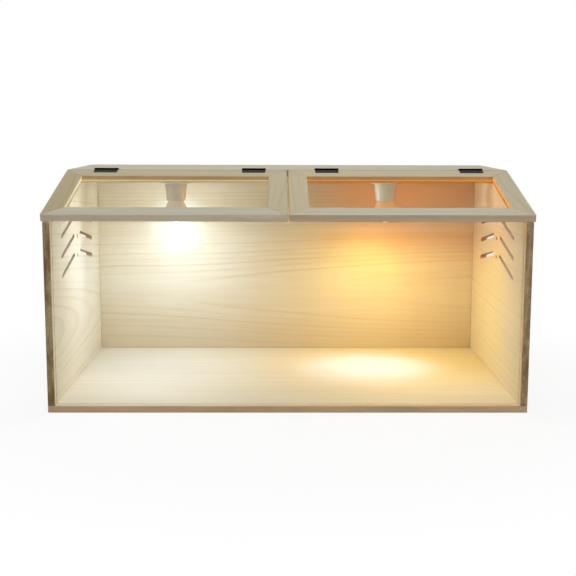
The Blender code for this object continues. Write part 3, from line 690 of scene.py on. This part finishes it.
def dress_box():
    """The floor board, the back panel and the side panels."""
    box = (EARLY_WOOD, LATE_WOOD, END_GRAIN)
    # The foremost strip gets painted warm light from inside the box
    strip = {"strip_end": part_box("floor_board")[0].y + FRONT_STRIP}
    floor = wood(
        "floor_wood",
        box,
        "XYZ",
        heart=0.10,
        depth=0.15,
        figure=0.30,
        streaky=0.40,
        under=[(painted_warm_light_front, {**strip, "left_share": 0.70, "right_share": 1.0})],
        over=[(planed_front, {"shade": FLOOR_EDGE})],
        seed=3.1,
    )
    dress(floor, "floor_board")
    # The corner of the back panel where the orange lamp's light is painted in
    corner = {
        "along": (-0.05, 0.20),
        "across": (0.22, 0.36),
        "most": 0.80,
        "strip": (0.320, 0.378),
        "soft": 0.010,
        "spared": 0.80,
    }
    back = wood(
        "back_wood",
        (BACK_EARLY_WOOD, BACK_LATE_WOOD, END_GRAIN),
        "XZY",
        heart=0.165,
        depth=0.126,
        opening=0.038,
        start=-0.60,
        ring=0.0085,
        sway=0.020,
        quiet=0.036,
        figure=0.60,
        streaky=0.35,
        streak=(4.0, 120.0),
        under=[(deep_foot, {"pale_at": 0.20, "deep_at": 0.01, "most": 0.60}), (painted_warm_light_corner, corner)],
        seed=7.4,
    )
    dress(back, "back_panel")
    low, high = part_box("side_panel_left")
    ends = {"low_end": low.y + END_MARGIN, "high_end": high.y - END_MARGIN}
    left = wood(
        "left_side_wood",
        box,
        "YZX",
        heart=0.146,
        tilt=-0.07,
        depth=0.1258,
        opening=-0.068,
        start=0.35,
        ring=0.0112,
        sway=0.010,
        figure=0.50,
        streaky=0.15,
        under=[(painted_warm_light_front, {**strip, "left_share": 0.35, "right_share": 0.35})],
        over=[(cut_walls, {**ends, "shade": CUT_GRAINS_AND_LAMPLIGHT["left"]})],
        seed=1.7,
    )
    dress(left, "side_panel_left")
    right = wood(
        "right_side_wood",
        box,
        "YZX",
        heart=-0.06,
        depth=0.08,
        ring=0.014,
        figure=0.30,
        streaky=0.15,
        under=[(painted_warm_light_front, {**strip, "left_share": 0.85, "right_share": 0.85})],
        over=[(cut_walls, {**ends, "shade": CUT_GRAINS_AND_LAMPLIGHT["right"]})],
        seed=5.2,
    )
    dress(right, "side_panel_right")


def dress_top():
    """The top board and the lids' boards."""
    colours = (LID_EARLY_WOOD, LID_LATE_WOOD, LID_END_GRAIN)
    top = wood("top_wood", colours, "XYZ", tone=TOP_TONE, heart=0.10, depth=0.07, ring=0.009, seed=2.3)
    dress(top, "top_board")
    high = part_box("left_lid_back_rail")[1]
    lid_top = high.z * math.cos(LID_SLOPE) - high.y * math.sin(LID_SLOPE)
    for number, (name, tone) in enumerate(LID_TONES.items()):
        side = name.split("_")[0]
        is_rail = name.endswith("rail")
        is_back_rail = name.endswith("back_rail")
        across = middle(name).y if is_rail else middle(name).x
        # The back rails' front faces get painted lamplight, and so do their lips
        front = {"shade": (PAINTED_LAMPLIGHT_BACK_RAILS if is_back_rail else LID_EDGES)[side]}
        if is_back_rail:
            front["lip"] = (lid_top, PAINTED_LAMPLIGHT_LEDGES[side])
        over = [(planed_front, front)]
        # The outer stiles' inner sides get painted lamplight
        if name in PAINTED_LAMPLIGHT_STILE_SIDES:
            way, shade = PAINTED_LAMPLIGHT_STILE_SIDES[name]
            over.append((painted_lamplight_side, {"way": way, "shade": shade}))
        # The ledge under each sheet gets painted lamplight
        over.append((painted_lamplight_ledge, {"lid_top": lid_top, "shade": PAINTED_LAMPLIGHT_LEDGES[side]}))
        material = wood(
            name + "_wood",
            colours,
            "XYZ" if is_rail else "YXZ",
            turn=-LID_SLOPE,
            tone=tone,
            heart=across + LID_HEART_OFFSET,
            depth=0.09,
            ring=0.006,
            figure=0.40,
            over=over,
            seed=LID_SEED + LID_SEED_STEP * number,
        )
        dress(material, name)


# Clear sheets

SHEET_GLOSS = 0.012
SHEET_GLOSS_SLANTED = 0.10
SLANT_BLEND = 0.5
SLANT_POWER = 5.0
SHEET_TINT = (0.945, 0.95, 0.945, 1.0)
WIPES = ((6.0, 6.0, 22.0), 5.0, 0.65)
WIPE_ROUGHNESS = (0.35, 0.75, 0.01, 0.07)
FROST = srgb(226, 232, 228)
FROST_ROUGHNESS = 0.45
FROST_COVER = 0.75
TO_THE_SHEET_FACE = (0.5, 0.7)
# Painted glow on the sheets' edges: an emission that stands in for the lamps' light piped along them
EDGE_PAINTED_GLOWS = {"left": srgb(240, 215, 160), "right": srgb(244, 158, 66)}
EDGE_GLOW_STRENGTH = 0.85


def acrylic(name, face, turn=0.0, edge_glow=FROST, edge_glow_strength=0.0):
    """Clear and glossy, with a few fine wipe marks.

    The face names the axis that the sheet looks along. Its sawn edges are frosted, and can carry a
    painted glow that stands in for lamplight piped along the sheet.
    """
    t = Nodes(name)
    coords = t.add("TexCoord").outputs
    facing = t.parts(board_frame(t, coords["Normal"], "XYZ", turn))
    flat = t.math("ABSOLUTE", facing[AXES[face]])
    wipes = t.texture(coords["Object"], WIPES)
    gloss = t.add(
        "BsdfGlossy",
        {"Color": (1.0, 1.0, 1.0, 1.0), "Roughness": t.spread(wipes, *WIPE_ROUGHNESS)},
    ).outputs[0]
    clear = t.add("BsdfTransparent", {"Color": SHEET_TINT}).outputs[0]
    slant = t.add("LayerWeight", {"Blend": SLANT_BLEND}).outputs["Facing"]
    slant = t.math("POWER", slant, SLANT_POWER)
    mirrored = t.spread(slant, 0.0, 1.0, SHEET_GLOSS, SHEET_GLOSS_SLANTED)
    outside = t.math("SUBTRACT", 1.0, t.add("NewGeometry").outputs["Backfacing"])
    sheet = t.mix_shaders(t.times(mirrored, outside), clear, gloss)
    frosted = t.principled(
        FROST,
        FROST_ROUGHNESS,
        Alpha=FROST_COVER,
        Emission_Color=edge_glow,
        Emission_Strength=edge_glow_strength,
    )
    return t.finish(t.mix_shaders(t.spread(flat, *TO_THE_SHEET_FACE), frosted, sheet))


def dress_clear_sheets():
    dress(acrylic("front_sheet", "Y"), "front_pane")
    # Each lid sheet's edges get a painted glow
    for side, light in EDGE_PAINTED_GLOWS.items():
        dress(acrylic(side + "_lid_sheet", "Z", -LID_SLOPE, light, EDGE_GLOW_STRENGTH), side + "_lid_pane")


# Metal

# Worn or dull spots, and brush marks drawn out along X
SPOT_SCALE = 180.0
SPOT_DETAIL = 4.0
SPOT_ROUGHNESS = 0.7
BRUSH = ((SPOT_SCALE * 0.2, SPOT_SCALE * 2.0, SPOT_SCALE * 2.0), 2.0, 0.6)
WORN_RANGE = (0.52, 0.70)
BRUSH_RANGE = (0.35, 0.75, 0.0, 0.25)
BRUSH_SHADE = 0.6
BRUSH_RELIEF = 0.15
BRUSH_DEPTH = 0.0002
DULL_RANGE = (0.3, 0.7)
SMOOTHER = 0.08
ROUGHER = 0.12


def metal(name, colour, worn, roughness):
    """Plain metal with fine brush marks and small worn or dull spots."""
    t = Nodes(name)
    where = t.add("TexCoord").outputs["Object"]
    brushed = t.texture(where, BRUSH)
    spots = t.noise(where, SPOT_SCALE, SPOT_DETAIL, SPOT_ROUGHNESS)
    shade = t.mix(t.spread(spots, *WORN_RANGE), colour, worn)
    shade = t.mix(t.spread(brushed, *BRUSH_RANGE), shade, scaled(colour, BRUSH_SHADE))
    dull = t.spread(spots, *DULL_RANGE, roughness - SMOOTHER, roughness + ROUGHER)
    normal = t.bump(brushed, BRUSH_RELIEF, BRUSH_DEPTH)
    return t.finish(t.principled(shade, dull, Metallic=1.0, Normal=normal))


def dress_metal():
    black = metal("black_hinge_steel", srgb(10, 9, 8), worn=srgb(34, 29, 20), roughness=0.46)
    zinc = metal("zinc_screw_steel", srgb(190, 188, 182), worn=srgb(150, 147, 138), roughness=0.32)
    shell = metal("socket_brass", srgb(205, 170, 98), worn=srgb(150, 118, 66), roughness=0.30)
    cap = metal("bulb_cap_tin", srgb(200, 197, 190), worn=srgb(158, 152, 142), roughness=0.28)
    for name in frame["nodes"]:
        if "_hinge_" in name:
            dress(black, name)
        elif name.startswith("floor_screw"):
            dress(zinc, name)
        elif name.endswith(("screw_shell", "centre_contact")):
            dress(shell, name)
        elif name.endswith("bulb_cap"):
            dress(cap, name)


# Lamps

TURNED_STEPS = 96
SHARP_ANGLE = math.radians(38)

# The base: its rounded rim, its wall, and the radius of the hole that the wires take
BASE_ROUND = 0.003
BASE_WALL = 0.004
WIRE_HOLE = 0.006

# The socket cup: the radii of its mouth and its bore, the thickness over the bore, and its upper rim
CUP_MOUTH = 0.0222
CUP_BORE = 0.0192
CUP_CEILING = 0.005
CUP_RIM = 0.0012

# The bulb: its wall, the stem in the cap, the neck from the cup's mouth, the shoulder and the face
GLASS_WALL = 0.0009
STEM = 0.0123
STEM_RISE = 0.006
NECK = 0.0172
NECK_START_SHARE = 0.9
NECK_START_RISE = 0.003
NECK_STEPS = 12
WIDEST_RISE = 0.014
SHOULDER = 0.008
SHOULDER_TURN = -80
FACE_RISE = 0.006
FACE_STEPS = 8

# Porcelain, its ripples and the dust in them
GLAZE = srgb(226, 221, 210)
DUSTY_GLAZE = srgb(198, 188, 168)
RIPPLES = ((30.0, 30.0, 90.0), 2.0, 0.5)
RIPPLE_RELIEF = 0.08
RIPPLE_DEPTH = 0.0006
DUST_SCALE = 140.0
DUST_DETAIL = 4.0
DUST_ROUGHNESS = 0.65
DUST_RANGE = (0.50, 0.80, 0.0, 0.5)
GLAZE_ROUGHNESS = (0.3, 0.8, 0.10, 0.26)
GLAZE_COAT = 0.5
GLAZE_COAT_ROUGHNESS = 0.05

# The neck's silver, its haze, and its glow: partly the bulb's own light let out and partly painted
# light of the lit box around it
SILVER = srgb(198, 194, 186)
HAZY_SILVER = srgb(168, 160, 148)
SILVER_METALLIC = 0.40
SILVER_ROUGHNESS = 0.26
HAZE_SCALE = 60.0
HAZE_DETAIL = 3.0
HAZE_RELIEF = 0.05
HAZE_DEPTH = 0.001
NECK_OWN_AND_PAINTED_LIGHTS = {"left": srgb(157, 139, 116), "right": srgb(181, 118, 39)}
NECK_STRENGTH = 1.0

# The frosted face, which starts about where the bulb is widest
FACE_FADE_BELOW = 0.001
FACE_FADE_ABOVE = 0.002
FACE_GLASS = srgb(238, 236, 230)
FACE_ROUGHNESS = 0.35
GRAIN_SCALE = 900.0
GRAIN_DETAIL = 3.0
GRAIN_ROUGHNESS = 0.7
GRAIN_RELIEF = 0.25
GRAIN_DEPTH = 0.0003
GRAIN_RANGE = (0.3, 0.7, 0.0, 0.25)
GRAIN_SHADE = 0.8
FACE_LIGHTS = {"left": srgb(255, 252, 244), "right": srgb(255, 226, 160)}
FACE_STRENGTH = 3.0


def turned(name, profile, material, at):
    """A smooth turned piece. Its profile is points of radius and height, down outside and up inside."""
    verts = []
    for radius, height in profile:
        count = 1 if radius == 0 else TURNED_STEPS
        for i in range(count):
            turn = math.tau * i / TURNED_STEPS
            verts.append((at.x + radius * math.cos(turn), at.y + radius * math.sin(turn), height))
    starts, total = [], 0
    for radius, _ in profile:
        starts.append(total)
        total += 1 if radius == 0 else TURNED_STEPS
    faces = []
    for index, following in enumerate(list(range(1, len(profile))) + [0]):
        a, b = starts[index], starts[following]
        wide_a, wide_b = profile[index][0] > 0, profile[following][0] > 0
        for i in range(TURNED_STEPS):
            j = (i + 1) % TURNED_STEPS
            if wide_a and wide_b:
                faces.append((a + i, b + i, b + j, a + j))
            elif wide_a:
                faces.append((a + i, b, a + j))
            elif wide_b:
                faces.append((a, b + i, b + j))
    mesh = bpy.data.meshes.new(name)
    mesh.from_pydata(verts, [], faces)
    mesh.validate()
    mesh.shade_smooth()
    mesh.set_sharp_from_angle(angle=SHARP_ANGLE)
    mesh.materials.append(material)
    piece = bpy.data.objects.new(name, mesh)
    bpy.context.scene.collection.objects.link(piece)
    return piece


def arc(centre, radius, start, end, steps=8):
    """Points from one angle to another, in degrees, with both ends."""
    angles = [math.radians(start + (end - start) * i / steps) for i in range(steps + 1)]
    return [(centre[0] + radius * math.cos(a), centre[1] + radius * math.sin(a)) for a in angles]


def porcelain(name):
    """Glazed and cream white, with faint ripples and dust that has settled in them."""
    t = Nodes(name)
    where = t.add("TexCoord").outputs["Object"]
    ripples = t.texture(where, RIPPLES)
    dust = t.noise(where, DUST_SCALE, DUST_DETAIL, DUST_ROUGHNESS)
    return t.finish(
        t.principled(
            t.mix(t.spread(dust, *DUST_RANGE), GLAZE, DUSTY_GLAZE),
            t.spread(dust, *GLAZE_ROUGHNESS),
            Normal=t.bump(ripples, RIPPLE_RELIEF, RIPPLE_DEPTH),
            Coat_Weight=GLAZE_COAT,
            Coat_Roughness=GLAZE_COAT_ROUGHNESS,
        )
    )


def bulb_glass(side, widest):
    """A thinly silvered neck whose glow is partly its own light let out and partly painted light of the
    box around it, and a frosted face that is lit from inside.
    """
    t = Nodes(side + "_bulb_lit_glass")
    where = t.add("TexCoord").outputs["Object"]
    height = t.parts(where)[2]
    face = t.spread(height, widest - FACE_FADE_BELOW, widest + FACE_FADE_ABOVE, 1.0, 0.0, smooth=True)
    grain = t.noise(where, GRAIN_SCALE, GRAIN_DETAIL, GRAIN_ROUGHNESS)
    haze = t.noise(where, HAZE_SCALE, HAZE_DETAIL)
    # The neck glows partly with the bulb's own light and partly with painted light of the box around it
    neck = t.principled(
        t.mix(haze, SILVER, HAZY_SILVER),
        SILVER_ROUGHNESS,
        Metallic=SILVER_METALLIC,
        Normal=t.bump(haze, HAZE_RELIEF, HAZE_DEPTH),
        Emission_Color=NECK_OWN_AND_PAINTED_LIGHTS[side],
        Emission_Strength=NECK_STRENGTH,
    )
    lit = FACE_LIGHTS[side]
    lens = t.principled(
        FACE_GLASS,
        FACE_ROUGHNESS,
        Normal=t.bump(grain, GRAIN_RELIEF, GRAIN_DEPTH),
        Emission_Color=t.mix(t.spread(grain, *GRAIN_RANGE), lit, scaled(lit, GRAIN_SHADE)),
        Emission_Strength=FACE_STRENGTH,
    )
    return t.finish(t.mix_shaders(face, neck, lens))


def base_profile(low, high):
    wide = (high.x - low.x) / 2
    rim = (wide - BASE_ROUND, low.z + BASE_ROUND)
    profile = [(wide, high.z), *arc(rim, BASE_ROUND, 0, -90)]
    profile += [(WIRE_HOLE, low.z), (WIRE_HOLE, low.z + BASE_WALL)]
    return profile + [(wide - BASE_WALL, low.z + BASE_WALL), (wide - BASE_WALL, high.z)]


def cup_profile(low, high):
    wide = (high.x - low.x) / 2
    lip = (CUP_MOUTH - CUP_BORE) / 2
    ceiling = high.z - CUP_CEILING
    profile = [(0, high.z), *arc((wide - CUP_RIM, high.z - CUP_RIM), CUP_RIM, 90, 0)]
    profile += arc((CUP_BORE + lip, low.z + lip), lip, 0, -180, steps=12)
    return profile + [(CUP_BORE, ceiling), (0, ceiling)]


def bulb_profile(low, high, mouth):
    """Down the stem, out along the neck, round the shoulder, over the face, and back up inside."""
    wide = (high.x - low.x) / 2
    widest = low.z + WIDEST_RISE
    outside = [
        (STEM, high.z),
        (STEM, mouth + STEM_RISE),
        (NECK * NECK_START_SHARE, mouth + NECK_START_RISE),
    ]
    for step in range(NECK_STEPS + 1):
        share = step / NECK_STEPS
        radius = NECK + (wide - NECK) * math.sin(share * math.pi / 2)
        outside.append((radius, mouth + (widest - mouth) * share))
    outside += arc((wide - SHOULDER, widest), SHOULDER, 0, SHOULDER_TURN, steps=10)[1:]
    face = wide - SHOULDER
    for step in range(1, FACE_STEPS + 1):
        share = 1 - step / FACE_STEPS
        outside.append((face * share, low.z + FACE_RISE * share**2))
    inside = [
        (max(radius - GLASS_WALL, 0.0), height + GLASS_WALL)
        for radius, height in reversed(outside[3:-1])
    ]
    profile = outside + [(0, low.z + GLASS_WALL)] + inside[1:]
    return profile + [(STEM - GLASS_WALL, high.z)]


def lamp(side):
    at = middle(side + "_lamp_socket_cup")
    glaze = porcelain(side + "_porcelain")

    base = turned(side + "_lamp_base_glazed", base_profile(*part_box(side + "_lamp_base")), glaze, at)
    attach(base, "root")
    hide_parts(side + "_lamp_base")

    cup_low, cup_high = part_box(side + "_lamp_socket_cup")
    cup = turned(side + "_lamp_cup_glazed", cup_profile(cup_low, cup_high), glaze, at)
    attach(cup, "root")
    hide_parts(side + "_lamp_socket_cup")

    low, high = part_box(side + "_bulb_glass")
    glass = bulb_glass(side, low.z + WIDEST_RISE)
    bulb = turned(side + "_bulb_envelope", bulb_profile(low, high, cup_low.z), glass, at)
    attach(bulb, side + "_bulb")
    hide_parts(side + "_bulb_glass")


bpy.context.scene.view_settings.view_transform = "Standard"
camera()
world()
stage()
studio_lights()
lamp_lights()
dress_box()
dress_top()
dress_clear_sheets()
dress_metal()
lamp("left")
lamp("right")
